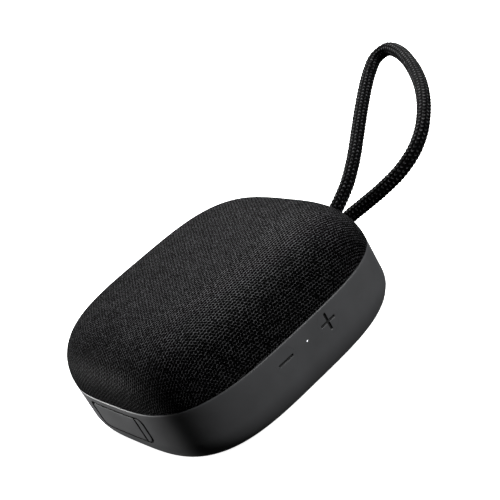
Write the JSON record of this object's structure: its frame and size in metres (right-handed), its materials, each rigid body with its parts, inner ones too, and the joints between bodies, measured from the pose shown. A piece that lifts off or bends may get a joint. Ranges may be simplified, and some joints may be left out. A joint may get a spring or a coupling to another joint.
{
  "type": "shower speaker",
  "caption": "Palm-sized waterproof speaker with a woven front, rubber band with buttons, port door, rear passive radiator and braided hang loop.",
  "frame": {"origin": "centre of the back, at the underside of the rubber foot that the speaker lies on; the hang loop and its gland are left out of the box", "axes": "+Z out of the fabric front, +X towards the end with the hang loop, -X the end with the port door, -Y the side with the volume buttons"},
  "size_m": [0.1783, 0.0926, 0.051],
  "materials": {
    "fabric": "woven speaker cloth, matt",
    "band_rubber": "soft-touch, matt",
    "shell_plastic": "fine grain",
    "foot_rubber": "matt",
    "rope": "braided polyester",
    "frame_plastic": "moulded",
    "foam": "closed-cell foam",
    "steel": "plated",
    "ferrite": "sintered",
    "cone_paper": "coated pulp",
    "spider_cloth": "resin-treated cloth",
    "copper": "enamelled wire",
    "circuit_board": "solder mask",
    "chip": "moulded epoxy",
    "cell_wrap": "shrink wrap",
    "lens": "clear, lit",
    "lead_wire": "insulated"
  },
  "bodies": {
    "casing": {"fabric_grille": "fabric", "grille_frame": "frame_plastic", "side_band": "band_rubber", "rear_shell": "shell_plastic", "base_pad": "foot_rubber", "case_seal": "foam", "baffle_plate": "frame_plastic", "case_screw_1": "steel", "case_screw_2": "steel", "case_screw_3": "steel", "case_screw_4": "steel", "volume_up_switch": "chip", "volume_down_switch": "chip", "play_switch": "chip", "power_switch": "chip", "volume_board": "circuit_board", "power_board": "circuit_board", "status_led": "lens", "led_light_pipe": "lens", "port_hinge_tab": "band_rubber", "usb_c_socket": "steel", "aux_socket": "chip", "main_board": "circuit_board", "board_screw_1": "steel", "board_screw_2": "steel", "bluetooth_shield": "steel", "amplifier_chip": "chip", "battery_cell": "cell_wrap", "battery_cradle": "frame_plastic", "battery_strap": "foam", "driver_gasket": "foam", "driver_basket": "steel", "driver_top_plate": "steel", "driver_magnet": "ferrite", "driver_yoke": "steel", "driver_spider": "spider_cloth", "driver_surround": "foot_rubber", "driver_screw_1": "steel", "driver_screw_2": "steel", "driver_screw_3": "steel", "driver_screw_4": "steel", "radiator_frame": "frame_plastic", "radiator_surround": "foot_rubber", "loop_gland": "foot_rubber", "loop_ferrule": "steel", "hang_loop": "rope", "speaker_lead": "lead_wire", "battery_lead": "lead_wire"},
    "volume_up_key": {"volume_up_button": "band_rubber"},
    "volume_down_key": {"volume_down_button": "band_rubber"},
    "play_key": {"play_button": "band_rubber"},
    "power_key": {"power_button": "band_rubber"},
    "door": {"port_door": "band_rubber"},
    "cone_assembly": {"driver_cone": "cone_paper", "dust_cap": "cone_paper", "voice_coil": "copper"},
    "passive_radiator": {"radiator_diaphragm": "shell_plastic"}
  },
  "joints": [
    {"name": "volume_up_press", "type": "slide", "parent": "casing", "child": "volume_up_key", "axis": [0, 1, 0], "range_m": [0, 0.0004], "stiffness_N_per_m": 400},
    {"name": "volume_down_press", "type": "slide", "parent": "casing", "child": "volume_down_key", "axis": [0, 1, 0], "range_m": [0, 0.0004], "stiffness_N_per_m": 400},
    {"name": "play_press", "type": "slide", "parent": "casing", "child": "play_key", "axis": [0, -1, 0], "range_m": [0, 0.0004], "stiffness_N_per_m": 400},
    {"name": "power_press", "type": "slide", "parent": "casing", "child": "power_key", "axis": [0, -1, 0], "range_m": [0, 0.0004], "stiffness_N_per_m": 400},
    {"name": "port_door_swing", "type": "hinge", "parent": "casing", "child": "door", "pos_m": [-0.0499, -0.0122, 0.0163], "axis": [0, 0, 1], "range_deg": [0, 110], "stiffness_Nm_per_rad": 0.002},
    {"name": "cone_travel", "type": "slide", "parent": "casing", "child": "cone_assembly", "axis": [0, 0, 1], "range_m": [-0.0015, 0.0015], "stiffness_N_per_m": 600, "deforming": ["driver_surround", "driver_spider"]},
    {"name": "radiator_travel", "type": "slide", "parent": "casing", "child": "passive_radiator", "axis": [0, 0, 1], "range_m": [-0.0012, 0.0012], "stiffness_N_per_m": 500, "deforming": ["radiator_surround"]}
  ]
}
